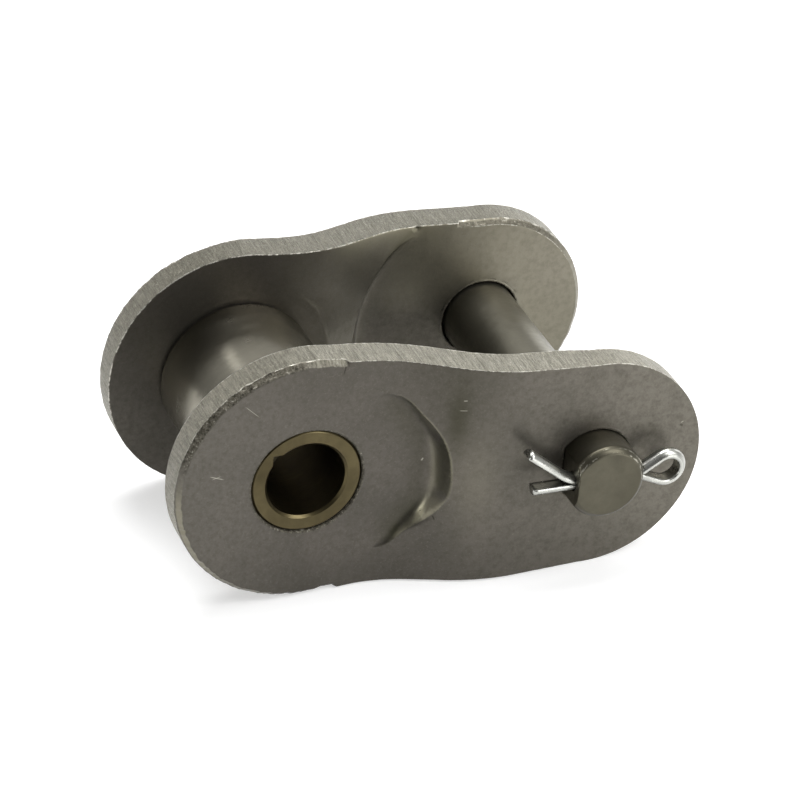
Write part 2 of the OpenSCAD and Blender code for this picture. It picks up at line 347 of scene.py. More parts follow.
def pocket_points(pocket, edge):
    """Rows of points along a pocket's edge and rings over its wall, each with its least spacing."""
    rows = []
    for shift, spacing in ((0, 0.1), (0.16, 0.1), (-0.16, 0.1), (0.4, 0.16), (-0.4, 0.16)):
        rows.append((edge[:, :2] + edge[:, 2:] * shift, spacing))
    rings = []
    for r in np.arange(*pocket.ring_radii, WALL_STEP):
        for a in np.arange(-pocket.ring_angle, pocket.ring_angle, WALL_STEP / r):
            x, z = pocket.x + pocket.side * r * cos(a), r * sin(a)
            if x < RINGS_END and pocket.gap(np.array([x]), np.array([z]))[0] > -0.5:
                rings.append((x, z))
    rows.append((np.array(rings), WALL_STEP * 0.6))
    return rows


def fill_points(borders, holes, rows):
    """Points inside the borders: the given rows first, then a triangular grid clear of them."""
    border = search_tree(np.vstack(borders))
    kept = []
    cells = {}

    def clear(q, spacing):
        if abs(q[1]) > half_height(q[0]) - MARGIN or border.find((q[0], q[1], 0))[2] < spacing:
            return False
        if any(hypot(q[0] - hole.x, q[1]) < hole.radius + COLLAR - 0.1 for hole in holes):
            return False
        for i in (-1, 0, 1):
            for j in (-1, 0, 1):
                for o in cells.get((q[0] // 1 + i, q[1] // 1 + j), ()):
                    if (o[0] - q[0]) ** 2 + (o[1] - q[1]) ** 2 < spacing * spacing:
                        return False
        return True

    def keep(points, spacing):
        for q in points:
            if clear(q, spacing):
                kept.append(q)
                cells.setdefault((q[0] // 1, q[1] // 1), []).append(q)

    for points, spacing in rows:
        keep(points, spacing)
    for j, z in enumerate(np.arange(-BUSH_LOBE, BUSH_LOBE, GRID_STEP * sqrt(3) / 2)):
        start = -BUSH_LOBE + (j % 2) * GRID_STEP / 2
        keep([(x, z) for x in np.arange(start, PITCH + PIN_LOBE, GRID_STEP)], GRID_STEP * 0.62)
    return np.array(kept)


def edge_wear(x, z, edge):
    """Bright wear along the sharp edge of a pocket."""
    tree = search_tree(edge)
    near = np.array([exp(-tree.find((a, b, 0))[2] / EDGE_FADE) for a, b in zip(x, z)])
    return near * np.where(x < 30, 0.42, 0.3)


# Shades of a plate, all painted: painted shade in the hollows, painted sheen on the fillets
def outer_shades(x, z):
    """Painted shade and painted sheen of the outer face, about 0 to 1, from places in millimetres and
    degrees.
    """
    r, a = pocket_radius(x, z), pocket_angle(x, z)
    past_pocket = r > 19
    in_pocket = (1 - ramp(np.abs(a - 2), 48, 66)) * (outer_gap(x, z) > -0.01)
    # the wall rises from its foot, which leans a little
    foot = 22.95 + 0.05 * (7.5 - z)
    wall = in_pocket * ramp(x, foot - 0.15, foot + 0.2)
    dark_wall = wall * ramp(a, -17, -9) * (1 - ramp(a, 22, 30))
    # painted shade: the floor darkens towards the wall, but for a paler strip at the foot
    floor_shade = in_pocket * ramp(r, 11.5, 16.0) * (1 - wall)
    floor_shade = floor_shade * (1 - 0.85 * bell(x, foot - 0.9, 1.0) * ramp(a, -40, -5))
    # painted shade in the pocket's lower corner and along its lower end
    corner = in_pocket * bell(r, 17.1, 0.8) * bell(a, -31, 9)
    tail = in_pocket * bell(r, 17.5, 0.8) * ramp(-a, 38, 46)
    # painted shade beyond the pocket, beside its upper corner and along the top
    valley = bell(x, 25.2, 1.9) * bell(z, 11, 6.5) * past_pocket
    brow = bell(x, 25, 8) * bell(z, 20, 9)
    painted_shade = 0.42 * floor_shade + 0.75 * dark_wall + 0.32 * corner + 0.6 * tail
    painted_shade = painted_shade + 0.7 * valley + 0.32 * brow
    # a painted highlight: the bright streak on the rolled lower corner, which runs on as a faint line
    streak = 1.3 * bell(r, 17.95 - 0.03 * (a + 21), 0.35) * bell(a, -29, 6.5)
    streak = streak + 0.25 * bell(r, 17.9, 0.6) * ramp(a, -30, -8) * (1 - ramp(a, 14, 26))
    # painted light on the wall towards both ends of the pocket
    lit_ends = np.maximum(0.32 * (1 - ramp(a, -20, -13)), 0.3 * ramp(a, 22, 32))
    lit_wall = ramp(r, 17.6, 18.4) * lit_ends
    # painted light on the slope beyond the pocket, and a painted highlight along the pocket's edge
    slope = bell(x, 29, 4) * bell(z, -1, 9) * past_pocket
    above = -outer_gap(x, z)
    lip = bell(above, 0.05, 0.2) * ramp(above, -0.25, -0.05) * bell(z, 4, 8) * (x > 15)
    sheen = in_pocket * np.maximum(streak, lit_wall) + 0.1 * slope + 0.32 * lip
    return painted_shade, sheen


def inner_shades(x, z):
    """Painted shade and painted sheen of the inner face, about 0 to 1."""
    r = np.hypot(x - PITCH, z)
    before_pin = x < 42
    # painted shade as a dark line along the pocket's edge, a pale painted highlight below it, and painted
    # shade in the low part
    line = before_pin * bell(r, 25.3, 0.45) * ramp(z, 2, 9)
    pale = before_pin * bell(r, 25.75, 0.3) * (1 - ramp(z, 8, 14))
    low = ramp(x, 25, 32) * (1 - ramp(z, 0, 8))
    # painted light on the pocket's floor and at the bush end, and a painted highlight where the top edge
    # rolls over
    clear = ramp(x, 24, 38) * np.maximum(ramp(z, 1, 9), ramp(x, 50, 60))
    clear = clear * (1 - 0.25 * ramp(x, 50, 66))
    left = ramp(x, 4, 12) * (1 - ramp(x, 24, 30))
    roll = ramp(x, 14, 24) * (1 - ramp(x, 36, 44)) * np.exp((z - half_height(x)) / 2.2)
    painted_shade = 0.9 * line + 0.25 * low
    sheen = 0.4 * pale + 0.3 * clear + 0.12 * left + 0.5 * roll * (z > 0)
    return painted_shade, sheen


# A row of points that follows the outline: distance inwards, height, and the values of its points; soft is
# painted light
Row = namedtuple("Row", "inset y rim wear cut soft", defaults=(0.0, 0.0))


class PlateMesh:
    """Points of a plate with their values, and the faces between them, as they are gathered."""

    def __init__(self):
        self.points = []
        self.runs = []
        self.values = {"rim": [], "wear": [], "cut": [], "soft": []}
        self.faces = []
        self.count = 0

    def add(self, points, runs=None, **values):
        """Takes in points with their values, 0 where none is given, and returns their numbers."""
        n = len(points)
        self.points.append(points)
        self.runs.append(np.zeros((n, 3)) if runs is None else runs)
        for key, kept in self.values.items():
            kept.append(np.broadcast_to(values.get(key, 0.0), n))
        self.count += n
        return list(range(self.count - n, self.count))

    def cover(self, loops, holes, pocket, height):
        """Closes a face: points on the pocket and a grid, joined to the loops by triangles."""
        seen_along_bush = np.vstack(self.points)[:, [0, 2]]
        borders = [seen_along_bush[loop] for loop in loops]
        edge = pocket_edge(pocket)
        inner = fill_points(borders, holes, pocket_points(pocket, edge))
        x, z = inner.T
        added = self.add(np.c_[x, height(x, z), z], wear=edge_wear(x, z, edge))
        lines = []
        k = 0
        for border in borders:
            lines += [(k + i, k + (i + 1) % len(border)) for i in range(len(border))]
            k += len(border)
        numbers = [i for loop in loops for i in loop] + added
        places = [Vector(q) for q in np.vstack(borders + [inner])]
        triangles, origins = delaunay_2d_cdt(places, lines, [], 1, 1e-6)[2:4]
        for triangle in triangles:
            ids = [origins[i][0] for i in triangle]
            middle = sum((places[i] for i in ids), Vector((0, 0))) / 3
            if not (all(i < k for i in ids) and any(in_hole(middle, hole) for hole in holes)):
                self.faces.append(tuple(numbers[i] for i in ids))


def in_hole(place, hole):
    """Whether a place lies in a hole or its collar."""
    beyond_flat = hole.flat and place.x < hole.x - hole.flat - COLLAR
    return hypot(place.x - hole.x, place.y) < hole.radius + COLLAR - 0.08 and not beyond_flat


class Plate:
    """One cranked side plate, drawn on the far side and mirrored for the near one."""

    def __init__(self, far):
        self.far = far
        self.seed = 11 if far else 5
        self.mesh = PlateMesh()
        self.points, self.normals, self.along = outline(RIM_STEP)
        self.x, self.z = self.points.T
        self.outer_round, self.inner_round = (SOFT, CRISP) if far else (CRISP, SOFT)
        # unevenness of the sheared edge
        self.rough = 0.065 + 0.03 * self.wave(0.9, 0, 1) + 0.02 * self.wave(2.6, 0, 2)
        # where the bevels run along the outline, from 0 to 1
        ragged = self.x + 0.25 * noise(self.z * 3, self.x * 2, self.seed)
        top = 1 - ramp(ragged, *(FAR_TOP_FADE if far else NEAR_TOP_FADE))
        self.outer_bevel = np.where(self.z < 0, 1 - ramp(ragged, *LOW_FADE), top)
        if far:
            self.inner_bevel = ramp(ragged, *FAR_INNER_FADE)
        else:
            start, end = NEAR_INNER_FADE
            self.inner_bevel = np.clip((self.x - start) / (end - start), 0, 1)
        # how far the bevels reach inwards
        coarse = 0.10 * self.wave(1.1, 0, 12) + 0.08 * self.wave(2.9, 0, 13)
        self.outer_reach = (BEVEL + coarse) * self.outer_bevel
        self.inner_reach = (BEVEL + 0.5 * coarse) * self.inner_bevel
        # the upper part of the outer bevel: torn, but sheared near its end
        self.upper = ramp(self.z, 3, 9)
        self.near_end = ramp(self.x, -3.5, 0.5)

    def wave(self, rate, across, layer):
        """Random relief along the outline, with rate bumps per millimetre."""
        return noise(self.along * rate, across, self.seed + layer)

    def moved_in(self, inset):
        """X and Z of the outline, moved inwards."""
        return (self.points - self.normals * np.asarray(inset).reshape(-1, 1)).T

    def on_outer_bevel(self, inset):
        """How far a place lies on the outer bevel, from 0 to 1."""
        return np.clip((self.outer_reach - inset) / EDGE_FADE, 0, 1) * self.outer_bevel

    def torn(self, inset):
        """The upper part of the outer bevel is torn, the rest is smooth."""
        return self.on_outer_bevel(inset) * self.upper * (1 - self.near_end)

    def sheared(self, inset):
        """Near its end at the top the bevel is as bright and streaked as the sheared edge."""
        return 0.5 * self.on_outer_bevel(inset) * self.upper * self.near_end

    def burr(self, value, inner=False):
        """Bright burr of the upper edges, faint elsewhere."""
        upper = ramp(self.z, 4, 12)
        if self.far and inner:
            upper = np.maximum(upper, ramp(self.z, -14, -4) * ramp(-self.x, 4, 12))
        return value * (0.25 + 0.75 * upper)

    def outer_height(self, inset, lower=0.0):
        """Height of the outer face with its bevel, at a distance inside the outline."""
        pits = 0.05 * self.wave(2.3, inset * 4, 21) + 0.035 * self.wave(0.9, inset * 9, 22) - 0.03
        bevel = 1.15 * np.minimum(0, inset - self.outer_reach)
        return outer_face(*self.moved_in(inset)) + bevel + self.torn(inset) * pits - lower

    def inner_height(self, inset, lower=0.0):
        """Height of the inner face with its bevel, at a distance inside the outline."""
        bevel = np.minimum(0, inset - self.inner_reach)
        return inner_face(*self.moved_in(inset)) - bevel + lower

    def rounded(self, part, radius):
        """Distance inwards and drop on a rounded edge, where part runs from 0 on the face to 1."""
        t = part * pi / 2
        return radius * (1 - sin(t)) + self.rough * part, radius * (1 - cos(t))

    def outer_rows(self):
        """Rows over the outer bevel, then round the outer edge."""
        rows = []
        # painted light on the lower left of the near plate's outer bevel
        lit_part = 0.35 * (1 - ramp(self.z, -4, 6)) * ramp(-self.x, 2, 8) * (not self.far)
        for inset in EDGE_INSETS:
            y, wear = self.outer_height(inset), self.burr(exp(-inset / 0.14))
            lit = lit_part * self.on_outer_bevel(inset)
            rows.append(Row(inset, y, self.sheared(inset), wear, self.torn(inset), lit))
        for part, wear in ((0, 0.2), (0.25, 0.7), (0.5, 1.0), (0.75, 1.0)):
            inset, drop = self.rounded(part, self.outer_round)
            y, rim = self.outer_height(inset, drop), np.maximum(part * 0.5, self.sheared(0))
            rows.append(Row(inset, y, rim, self.burr(wear), self.torn(0) * (1 - part)))
        return rows

    def side_rows(self):
        """Rows down the sheared side, with shallow marks and the tear nearer the inner face."""
        rows = []
        top = self.outer_height(self.rough, self.outer_round)
        bottom = self.inner_height(self.rough, self.inner_round)
        for k in range(SIDE_ROWS + 1):
            t = k / SIDE_ROWS
            from_edge = min(t, 1 - t)
            marks = 0.03 * self.wave(3.1, t * 1.5, 3) + 0.02 * self.wave(1.3, t * 4, 4)
            tear = 0.05 * ramp(t, 0.5, 0.75) * (0.6 + 0.4 * self.wave(0.7, 0, 6))
            inset = self.rough + (marks + tear) * min(1, from_edge * 8)
            wear = self.burr(0.9 * exp(-from_edge * 40), inner=t >= 0.5)
            rows.append(Row(inset, top * (1 - t) + bottom * t, 1.0, wear))
        return rows

    def inner_rows(self):
        """Rows round the inner edge, then over the inner bevel."""
        rows = []
        for part in (0.75, 0.5, 0.25, 0):
            inset, drop = self.rounded(part, self.inner_round)
            rows.append(Row(inset, self.inner_height(inset, drop), part * 0.5, self.burr(1.0, inner=True)))
        upper = ramp(self.z, 12, 18)
        for inset in EDGE_INSETS[::-1]:
            bevel = np.clip((self.inner_reach - inset) / EDGE_FADE, 0, 1) * self.inner_bevel * self.far
            pitted = 0.75 * bevel * upper
            # painted highlight on the far plate's inner bevel at the pin's end, below its top
            pale_and_lit = 0.3 * bevel * ramp(self.z, -14, -4) * (1 - upper)
            bevel_edge = 0.8 * bell(inset, BEVEL, EDGE_FADE) * (self.x > PITCH - 6)
            wear = self.burr(exp(-inset / EDGE_FADE) + bevel_edge, inner=True)
            rows.append(Row(inset, self.inner_height(inset), 0.0, wear, pitted, pale_and_lit))
        return rows

    def add_rim(self):
        """Adds the rows along the outline, and returns the first and the last as loops."""
        rows = self.outer_rows() + self.side_rows() + self.inner_rows()
        loops = []
        for k, row in enumerate(rows):
            x, z = self.moved_in(row.inset)
            across = np.full(len(x), k / (len(rows) - 1) * 10)
            runs = np.c_[self.along, across, 0 * across]
            values = {key: getattr(row, key) for key in self.mesh.values}
            loops.append(self.mesh.add(np.c_[x, row.y, z], runs, **values))
        self.mesh.faces += tube_faces(len(rows), len(self.points))
        return loops[0], loops[-1]

    def add_hole(self, hole):
        """Adds a hole with its collars, and returns the outer and the inner border as loops."""
        edge, into_plate = hole_loop(hole)
        rows = []

        def collar(face, broken, sign):
            """Rows between the collar's border and the hole, over the broken edge."""
            steps = ((COLLAR, 0), (0.55, 0), (broken, 0), (broken / 2, broken * 0.35), (0, broken))
            for away, lower in steps[::sign]:
                x, z = (edge + into_plate * away).T
                rows.append(np.c_[x, face(x, z) - sign * lower, z])

        collar(outer_face, hole.outer_break, 1)
        top = outer_face(*edge.T) - hole.outer_break
        bottom = inner_face(*edge.T) + hole.inner_break
        for t in (0.25, 0.5, 0.75):
            rows.append(np.c_[edge[:, 0], top * (1 - t) + bottom * t, edge[:, 1]])
        collar(inner_face, hole.inner_break, -1)
        torn = (0, 0, 0.6) + (1,) * 7 + (0.6, 0, 0)
        first = self.mesh.count
        loops = [self.mesh.add(points, cut=cut) for points, cut in zip(rows, torn)]
        self.mesh.faces += tube_faces(len(rows), len(edge), first)
        return loops[0], loops[-1]

    def holes(self):
        """The bush's hole and the pin's, which is flatted in the near plate."""
        bush_hole = Hole(0.0, BUSH_R, None, 0.3, 0.05)
        if self.far:
            return bush_hole, Hole(PITCH, PIN_R + FAR_SLIP, None, 0.06, 0.3)
        return bush_hole, Hole(PITCH, PIN_R + KEYED_SLIP, PIN_FLAT + KEYED_SLIP, 0.08, 0.06)

    def build(self, name, material):
        """The finished mesh object."""
        holes = self.holes()
        loops = [self.add_rim()] + [self.add_hole(hole) for hole in holes]
        outer_loops, inner_loops = zip(*loops)
        self.mesh.cover(outer_loops, holes, OUTER_POCKET, outer_face)
        self.mesh.cover(inner_loops, holes, INNER_POCKET, inner_face)
        v = np.vstack(self.mesh.points)
        x, y, z = v.T
        # slight unevenness of the rolled and tempered stock
        broad = 0.02 * noise(x / 7 + 40, z / 7, self.seed + 8)
        y += broad + 0.012 * noise(x / 2.3, z / 2.3, self.seed + 9)
        # one pit in the inner face of the far plate, with painted shade in it and no painted sheen
        pit = bell(x, 36.3, 0.5) * bell(z, 20.9, 0.55) * (y < 26) * self.far
        y += 0.2 * pit
        values = {key: np.hstack(parts) for key, parts in self.mesh.values.items()}
        outside = y > (outer_face(x, z) + inner_face(x, z)) / 2
        painted_shade, sheen = np.clip(np.where(outside, outer_shades(x, z), inner_shades(x, z)), 0, 1)
        sheen = np.maximum(sheen, values.pop("soft")) * (1 - pit)
        values["painted_shade"] = np.maximum(painted_shade, pit) * (1 - values["rim"])
        values["sheen"] = sheen * (1 - values["rim"])
        if not self.far:
            y *= -1
        return build(name, v, self.mesh.faces, material, values, np.vstack(self.mesh.runs))


# Cotter pin
WIRE = 1.45
LEG_BEND = radians(38)
LEG_BEND_R = 7.0
BENT_RUN = 8.2
STRAIGHT_LEG = 7.6
EYE_R = 2.25
EYE_TILT = radians(4)
EYE_X = PITCH + PIN_R + 4.95
NECK_X = PITCH + PIN_R + 0.4
NECK_BEND_X = NECK_X - 0.45
NECK_BEND_R = 1.05
LEG_GAP = 0.03


def cotter_path():
    """Middle line of the wire's flat side: X, Z and the angle of its round side from upright."""
    root = PITCH - PIN_FLAT + 1.4
    lead = asin(EYE_R / (EYE_X - NECK_X))
    end_x = root - LEG_BEND_R * sin(LEG_BEND)
    end_z = LEG_BEND_R * (1 - cos(LEG_BEND)) + LEG_GAP
    bent_leg = []
    for t in np.linspace(BENT_RUN, 0, 12)[:-1]:
        bent_leg.append((end_x - t * cos(LEG_BEND), end_z + t * sin(LEG_BEND), LEG_BEND))
    for a in np.linspace(LEG_BEND, 0, 10):
        bent_leg.append((root - LEG_BEND_R * sin(a), LEG_BEND_R * (1 - cos(a)) + LEG_GAP, a))
    for x in np.linspace(root, NECK_BEND_X, 14)[1:]:
        bent_leg.append((x, LEG_GAP, 0.0))
    eye_half = []
    for a in np.linspace(0, lead, 7)[1:]:
        rise = NECK_BEND_R * (1 - cos(a))
        eye_half.append((NECK_BEND_X + NECK_BEND_R * sin(a), LEG_GAP + rise, -a))
    x, z = eye_half[-1][:2]
    touch_x, touch_z = EYE_X - EYE_R * sin(lead), EYE_R * cos(lead)
    for t in np.linspace(0, 1, 7)[1:]:
        eye_half.append((x + (touch_x - x) * t, z + (touch_z - z) * t, -lead))
    for a in np.linspace(pi / 2 + lead, 0, 26)[1:]:
        eye_half.append((EYE_X + EYE_R * cos(a), EYE_R * sin(a), pi / 2 - a))
    tip = PITCH - PIN_FLAT - STRAIGHT_LEG
    straight_leg = [(x, LEG_GAP, 0.0) for x in np.linspace(tip, NECK_BEND_X, 34)]
    lower = straight_leg + eye_half[:-1]
    return bent_leg + eye_half + [(x, -z, pi - a) for x, z, a in lower[::-1]]


def tilted(x, z, angle):
    """A place of the wire, turned with the eye about the neck."""
    t = EYE_TILT * ramp(x, NECK_X - 0.4, NECK_X + 0.6)
    dx = x - NECK_X
    return NECK_X + dx * cos(t) - z * sin(t), dx * sin(t) + z * cos(t), angle - t


def wire_section():
    """Half round section with its corners cut, as places across the wire and up from its flat side."""
    corner = WIRE - 0.1
    arc = [(WIRE * cos(b), WIRE * sin(b)) for b in np.linspace(0, pi, WIRE_SIDES + 1)]
    flat = [(w, 0.0) for w in np.linspace(-corner, corner, 5)]
    return [(corner, 0.0)] + arc[1:-1] + flat[:-1]


def cotter(material):
    """Half round wire, swept as one length: bent leg, shank, eye, shank, straight leg."""
    path = [tilted(*place) for place in cotter_path()]
    section = wire_section()
    points = []
    runs = []
    run = 0
    for k, (x, z, angle) in enumerate(path):
        if k:
            run += hypot(x - path[k - 1][0], z - path[k - 1][1])
        wobble = 0.005 * noise(run * 0.8, 0.0, 3)
        for w, h in section:
            up = h + wobble
            y = COTTER_Y + w * (1 + 0.008 * noise(run, w, 4))
            points.append((x + sin(angle) * up, y, z + cos(angle) * up))
            runs.append((run, w, h))
    return build("cotter", points, capped_tube(len(path), len(section)), material, {}, runs)


# Connecting pin
PIN_END = -(PIN_FACE + PIN_STAND)
KEY_END = PIN_END + PIN_STAND + THICK + 0.4
PIN_BEVEL_DEPTH = 1.3
PIN_BEVEL_CUT = 1.15


def pin_rows():
    """Rows of the pin from its near end to its head: place along Y, radius, wear."""
    rows = [(PIN_END, r, 0.0) for r in (0.0, 1.5, 3.0, 4.5, 5.5, 5.9)]
    steps = 16
    for k in range(steps + 1):
        t = k / steps * pi / 2
        y = PIN_END + PIN_BEVEL_DEPTH * (1 - cos(t) ** 1.35)
        radius = PIN_R - PIN_BEVEL_CUT * (1 - sin(t) ** 1.35)
        rows.append((y, radius, 1.8 * bell(k, 5, 1.3) + 1.6 * bell(k, 11, 1.3)))
    rows += [(y, PIN_R, 0.0) for y in np.arange(PIN_END + 1.35, PIN_FACE - 0.2, 0.6)]
    head = ((0, PIN_R, 0.0), (0, HEAD_R - 0.25, 0.0), (0.25, HEAD_R, 0.3), (2.0, HEAD_R, 0.1),
            (2.15, HEAD_R - 0.1, 0.8), (2.5, HEAD_R - 0.5, 0.8), (HEAD_T, HEAD_R - 0.7, 0.3),
            (HEAD_T, 6.0, 0.0), (HEAD_T, 3.0, 0.0), (HEAD_T, 0.0, 0.0))
    return rows + [(PIN_FACE + y, radius, wear) for y, radius, wear in head]


def bored(ob):
    """Cuts the hole for the cotter, along X, through the pin."""
    turn = Matrix.Translation((PITCH * MM, COTTER_Y * MM, 0)) @ Matrix.Rotation(pi / 2, 4, "Y")
    r = PIN_HOLE * MM
    bm = bmesh.new()
    bmesh.ops.create_cone(bm, cap_ends=True, segments=48, radius1=r, radius2=r, depth=0.03, matrix=turn)
    drill_mesh = bpy.data.meshes.new("drill")
    bm.to_mesh(drill_mesh)
    bm.free()
    drill = add_object("drill", drill_mesh)
    cut = ob.modifiers.new("hole", "BOOLEAN")
    cut.operation, cut.solver, cut.object = "DIFFERENCE", "EXACT", drill
    mesh = bpy.data.meshes.new_from_object(ob.evaluated_get(bpy.context.evaluated_depsgraph_get()))
    ob.modifiers.clear()
    ob.data = mesh
    bpy.data.objects.remove(drill)
    return ob


def pin(material):
    """Connecting pin: flat at the cotter end, softened bevel, plain head, hole for the cotter."""
    rows = pin_rows()
    points = []
    wear = []
    for y, radius, worn in rows:
        flat = PIN_FLAT - 0.15 * min(1.0, PIN_R - radius)
        for i in range(PIN_SIDES):
            a = i / PIN_SIDES * 2 * pi
            r = radius
            if y < KEY_END and cos(a) < 0:
                r = min(r, flat / max(-cos(a), 1e-6))
            # never quite 0, so that no two points meet at the middle of an end
            r = max(r - 0.012 * (1 + noise(a * 4, y * 0.7, 31)), 0.001 * (i + 1) / PIN_SIDES)
            points.append((PITCH + r * cos(a), y, r * sin(a)))
            side = degrees(a)
            wear.append(worn * (0.25 + 0.75 * max(bell(side, 145, 35), bell(side, 35, 35))))
    x, y, z = np.array(points).T
    # paler between the plates, and painted light near the end, brighter on the right side
    pale_and_lit = ramp(y, -23.0, -20.0) * 0.36
    near_end = bell(y, PIN_END + 1.4, 3.0) * ramp(y, PIN_END + 1.0, PIN_END + 1.7)
    pale_and_lit = pale_and_lit + near_end * (0.3 + 0.25 * (x - PITCH) / PIN_R)
    values = {"wear": wear, "sheen": pale_and_lit}
    return bored(build("pin", points, capped_tube(len(rows), PIN_SIDES), material, values))


# Materials
class Nodes:
    """Short forms for building the nodes of a material or a world."""

    def __init__(self, owner):
        owner.use_nodes = True
        self.owner = owner
        self.tree = owner.node_tree
        self.tree.nodes.clear()

    def add(self, kind, inputs=None, **props):
        """A node whose inputs are joined to sockets or set to plain values."""
        node = self.tree.nodes.new("ShaderNode" + kind)
        for key, value in props.items():
            setattr(node, key, value)
        for key, value in (inputs or {}).items():
            if isinstance(value, bpy.types.NodeSocket):
                self.tree.links.new(value, node.inputs[key])
            else:
                node.inputs[key].default_value = value
        return node

    def math(self, operation, a, b=0.0, clamp=False):
        return self.add("Math", {0: a, 1: b}, operation=operation, use_clamp=clamp).outputs[0]

    def times(self, a, b):
        return self.math("MULTIPLY", a, b)

    def vector(self, operation, a, b=(0, 0, 0), out="Vector"):
        return self.add("VectorMath", {0: a, 1: b}, operation=operation).outputs[out]

    def place(self, scale=(1, 1, 1), source=None):
        """Coordinates on the object, or another vector, scaled."""
        if source is None:
            source = self.add("TexCoord").outputs["Object"]
        return self.add("Mapping", {"Vector": source, "Scale": scale}).outputs[0]

    def grain(self, scale, detail, rough, source):
        inputs = {"Vector": source, "Scale": scale, "Detail": detail, "Roughness": rough}
        return self.add("TexNoise", inputs).outputs[0]

    def between(self, value, low, high, to_low=0.0, to_high=1.0):
        """A value between low and high, brought between two others and kept there."""
        inputs = {0: value, 1: low, 2: high, 3: to_low, 4: to_high}
        return self.add("MapRange", inputs).outputs[0]

    def mix(self, factor, a, b):
        return self.add("Mix", {0: factor, 6: a, 7: b}, data_type="RGBA").outputs[2]

    def spread(self, value, low, high, dark, pale):
        """One colour at low and another at high, both in screen values."""
        return self.mix(self.between(value, low, high), linear(dark), linear(pale))

    def tint(self, colour, value, low, high, amount, rgb):
        """Brings up to amount of a colour in as the value goes from low to high."""
        return self.mix(self.between(value, low, high, 0.0, amount), colour, linear(rgb))

    def stain(self, colour, value, amount, rgb):
        """Brings a colour in, in proportion to a value."""
        return self.mix(self.times(value, amount), colour, linear(rgb))

    def attribute(self, name, out="Fac"):
        return self.add("Attribute", attribute_name=name).outputs[out]

    def mark(self, place, start, end, width):
        """1 on a thin line between two places (X, Z in millimetres) of the outer face, 0 off it."""
        start, end = np.array(start), np.array(end)
        length = np.hypot(*(end - start))
        dx, dz = (end - start) / length
        away = self.vector("SUBTRACT", place, (start[0] * MM, 0, start[1] * MM))
        along = self.vector("DOT_PRODUCT", away, (dx, 0, dz), "Value")
        across = self.vector("DOT_PRODUCT", away, (-dz, 0, dx), "Value")
        from_middle = self.math("ABSOLUTE", self.math("SUBTRACT", along, length * MM / 2))
        inside = self.between(from_middle, length * MM * 0.3, length * MM / 2, 1.0, 0.0)
        line = self.between(self.math("ABSOLUTE", across), 0.3 * width * MM, width * MM, 1.0, 0.0)
        return self.times(inside, line)

    def bump(self, height, distance, strength, normal=None):
        inputs = {"Height": height, "Distance": distance, "Strength": strength}
        if normal is not None:
            inputs["Normal"] = normal
        return self.add("Bump", inputs).outputs[0]

    def metal(self, colour, metallic, rough, normal):
        """Ends the material with a shader of these values, and returns the material."""
        inputs = {"Base Color": colour, "Metallic": metallic, "Roughness": rough, "Normal": normal}
        shader = self.add("BsdfPrincipled", inputs)
        self.add("OutputMaterial", {"Surface": shader.outputs[0]})
        return self.owner


# Marks of the near plate's outer face, as start and end in X and Z and half width, all in millimetres; the
# sixth pale mark, on the pocket's floor, is a painted glint
SCRATCHES_AND_GLINT = (((-12.4, 17.1), (-9.6, 14.5), 0.07), ((-18.0, 3.9), (-15.3, 2.9), 0.13),
             ((-17.6, 3.2), (-15.9, 3.7), 0.08), ((25.7, 15.4), (26.4, 15.5), 0.14),
             ((25.2, 13.4), (26.6, 13.5), 0.09), ((21.0, 1.1), (21.3, 1.7), 0.2),
             ((67.0, 6.2), (67.5, 6.5), 0.16))
TEARS = (((5.75, 23.9), (5.1, 20.7), 0.16), ((66.8, 5.9), (67.5, 5.5), 0.3),
         ((22.6, -8.4), (22.95, -9.3), 0.18))

# Colours of the plates, in screen values
FACE_DARK, FACE_PALE = (76, 73, 67), (86, 82, 76)
PIN_END_LIT, BUSH_END_FACE = (116, 112, 102), (104, 101, 94)
FACE_STAIN, FACE_SPECK, FACE_PORE = (70, 67, 59), (132, 129, 118), (60, 57, 48)
# painted shade for the hollows, and painted sheen for the fillets and edges
PAINTED_SHADE, PAINTED_SHEEN = (47, 46, 31), (180, 175, 150)
SIDE_DARK, SIDE_PALE, SIDE_STREAK = (92, 89, 78), (143, 140, 127), (146, 143, 130)
SIDE_TOP_SHADE, SIDE_PORE, BARE_STEEL = (84, 82, 72), (62, 59, 49), (196, 193, 182)
SCAR_DARK, SCAR_PALE = (34, 32, 25), (108, 104, 93)
CHIP, SCRATCH, TEAR = (206, 203, 192), (190, 187, 172), (36, 34, 26)
# pale steel for real wear, and for painted sheen
WEAR_AND_SHEEN = (176, 173, 160)


def plate_face(m, shift, x, mid):
    """Colour of the tempered faces: paler towards the pin's end as painted light, paler towards the bush's
    end, with the painted shade and sheen of the mesh.
    """
    face = m.spread(m.grain(60.0, 3.0, 0.55, shift), 0.35, 0.65, FACE_DARK, FACE_PALE)
    # painted light: paler towards the pin's end; also paler towards the bush's end
    face = m.tint(face, x, 0.022, 0.06, 0.55, PIN_END_LIT)
    face = m.tint(face, x, 0.0, -0.02, 0.3, BUSH_END_FACE)
    face = m.tint(face, mid, 0.42, 0.7, 0.5, FACE_STAIN)
    speck = m.grain(2600.0, 4.0, 0.75, shift)
    face = m.tint(face, speck, 0.56, 0.78, 0.3, FACE_SPECK)
    face = m.tint(face, speck, 0.43, 0.27, 0.35, FACE_PORE)
    # painted shade and painted sheen, from the mesh's values
    face = m.stain(face, m.attribute("painted_shade"), 0.8, PAINTED_SHADE)
    return m.stain(face, m.attribute("sheen"), 0.7, PAINTED_SHEEN)


